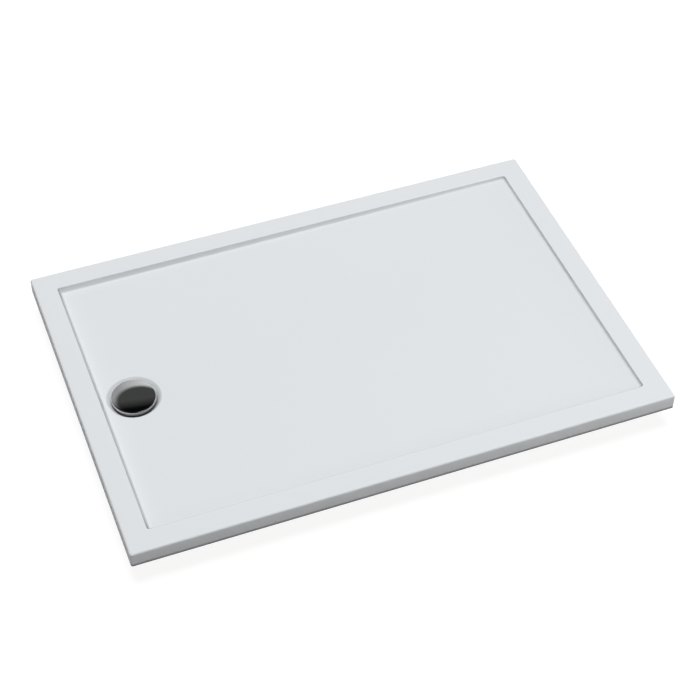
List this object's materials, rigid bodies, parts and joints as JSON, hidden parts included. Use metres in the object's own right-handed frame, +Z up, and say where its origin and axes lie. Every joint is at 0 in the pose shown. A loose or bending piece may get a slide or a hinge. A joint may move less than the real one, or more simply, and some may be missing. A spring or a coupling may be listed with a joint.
{
  "type": "shower tray",
  "caption": "Rectangular low white shower tray with a flat rim, shallow recess, round chrome-covered waste at one end, low trap and adjustable feet.",
  "frame": {"origin": "on the floor under the middle of the tray, centre of the bounding box's bottom face", "axes": "+X along the long side away from the waste, +Y across to the back long side, +Z up"},
  "size_m": [1.3, 0.9, 0.1],
  "materials": {
    "acrylic": "satin gloss white sheet",
    "laminate": "rough sprayed resin and glass",
    "board": "raw chipboard",
    "timber": "planed softwood",
    "zinc_steel": "zinc plated",
    "foot_plastic": "moulded",
    "sole_rubber": "matt",
    "seal_rubber": "matt",
    "trap_plastic": "moulded, light texture",
    "insert_plastic": "moulded",
    "chrome": "polished"
  },
  "bodies": {
    "tray": {"acrylic_shell": "acrylic", "reinforcement_laminate": "laminate", "support_board": "board", "edge_batten_front": "timber", "edge_batten_back": "timber", "edge_batten_left": "timber", "edge_batten_right": "timber", "foot_plate_screws": "zinc_steel", "foot_lock_nuts": "zinc_steel", "waste_flange": "chrome", "upper_gasket": "seal_rubber", "lower_gasket": "seal_rubber", "trap_body": "trap_plastic", "outlet_seal_ring": "seal_rubber", "outlet_union_nut": "insert_plastic", "foot_plate_left_front": "foot_plastic", "foot_plate_left_back": "foot_plastic", "foot_plate_right_front": "foot_plastic", "foot_plate_right_back": "foot_plastic", "foot_plate_middle": "foot_plastic"},
    "trap_insert": {"dip_tube": "insert_plastic", "insert_o_ring": "seal_rubber", "seal_cup": "insert_plastic"},
    "strainer": {"hair_strainer": "insert_plastic"},
    "cover": {"waste_cover": "chrome", "cover_holder": "insert_plastic"},
    "outlet": {"outlet_elbow": "trap_plastic"},
    "pad_left_front": {"foot_pad_left_front": "foot_plastic", "foot_sole_left_front": "sole_rubber"},
    "stud_left_front": {"foot_stud_left_front": "zinc_steel"},
    "pad_left_back": {"foot_pad_left_back": "foot_plastic", "foot_sole_left_back": "sole_rubber"},
    "stud_left_back": {"foot_stud_left_back": "zinc_steel"},
    "pad_right_front": {"foot_pad_right_front": "foot_plastic", "foot_sole_right_front": "sole_rubber"},
    "stud_right_front": {"foot_stud_right_front": "zinc_steel"},
    "pad_right_back": {"foot_pad_right_back": "foot_plastic", "foot_sole_right_back": "sole_rubber"},
    "stud_right_back": {"foot_stud_right_back": "zinc_steel"},
    "pad_middle": {"foot_pad_middle": "foot_plastic", "foot_sole_middle": "sole_rubber"},
    "stud_middle": {"foot_stud_middle": "zinc_steel"}
  },
  "joints": [
    {"name": "insert_lift", "type": "slide", "parent": "tray", "child": "trap_insert", "axis": [0, 0, 1], "range_m": [0, 0.095]},
    {"name": "strainer_lift", "type": "slide", "parent": "trap_insert", "child": "strainer", "axis": [0, 0, 1], "range_m": [0, 0.04]},
    {"name": "cover_lift", "type": "slide", "parent": "strainer", "child": "cover", "axis": [0, 0, 1], "range_m": [0, 0.035]},
    {"name": "outlet_swivel", "type": "hinge", "parent": "tray", "child": "outlet", "pos_m": [-0.44, 0, 0.0335], "axis": [1, 0, 0], "range_deg": [-90, 5]},
    {"name": "foot_height_left_front", "type": "slide", "parent": "tray", "child": "pad_left_front", "axis": [0, 0, -1], "range_m": [-0.005, 0.012]},
    {"name": "foot_screw_left_front", "type": "hinge", "parent": "pad_left_front", "child": "stud_left_front", "pos_m": [-0.54, -0.34, 0.03], "axis": [0, 0, -1], "range_deg": [-1029, 2469]},
    {"name": "foot_height_left_back", "type": "slide", "parent": "tray", "child": "pad_left_back", "axis": [0, 0, -1], "range_m": [-0.005, 0.012]},
    {"name": "foot_screw_left_back", "type": "hinge", "parent": "pad_left_back", "child": "stud_left_back", "pos_m": [-0.54, 0.34, 0.03], "axis": [0, 0, -1], "range_deg": [-1029, 2469]},
    {"name": "foot_height_right_front", "type": "slide", "parent": "tray", "child": "pad_right_front", "axis": [0, 0, -1], "range_m": [-0.005, 0.012]},
    {"name": "foot_screw_right_front", "type": "hinge", "parent": "pad_right_front", "child": "stud_right_front", "pos_m": [0.54, -0.34, 0.03], "axis": [0, 0, -1], "range_deg": [-1029, 2469]},
    {"name": "foot_height_right_back", "type": "slide", "parent": "tray", "child": "pad_right_back", "axis": [0, 0, -1], "range_m": [-0.005, 0.012]},
    {"name": "foot_screw_right_back", "type": "hinge", "parent": "pad_right_back", "child": "stud_right_back", "pos_m": [0.54, 0.34, 0.03], "axis": [0, 0, -1], "range_deg": [-1029, 2469]},
    {"name": "foot_height_middle", "type": "slide", "parent": "tray", "child": "pad_middle", "axis": [0, 0, -1], "range_m": [-0.005, 0.012]},
    {"name": "foot_screw_middle", "type": "hinge", "parent": "pad_middle", "child": "stud_middle", "pos_m": [0, 0, 0.03], "axis": [0, 0, -1], "range_deg": [-1029, 2469]}
  ],
  "couplings": [
    {"joint": "foot_screw_left_front", "follows": "foot_height_left_front", "rad_per_m": 3590.4},
    {"joint": "foot_screw_left_back", "follows": "foot_height_left_back", "rad_per_m": 3590.4},
    {"joint": "foot_screw_right_front", "follows": "foot_height_right_front", "rad_per_m": 3590.4},
    {"joint": "foot_screw_right_back", "follows": "foot_height_right_back", "rad_per_m": 3590.4},
    {"joint": "foot_screw_middle", "follows": "foot_height_middle", "rad_per_m": 3590.4}
  ]
}
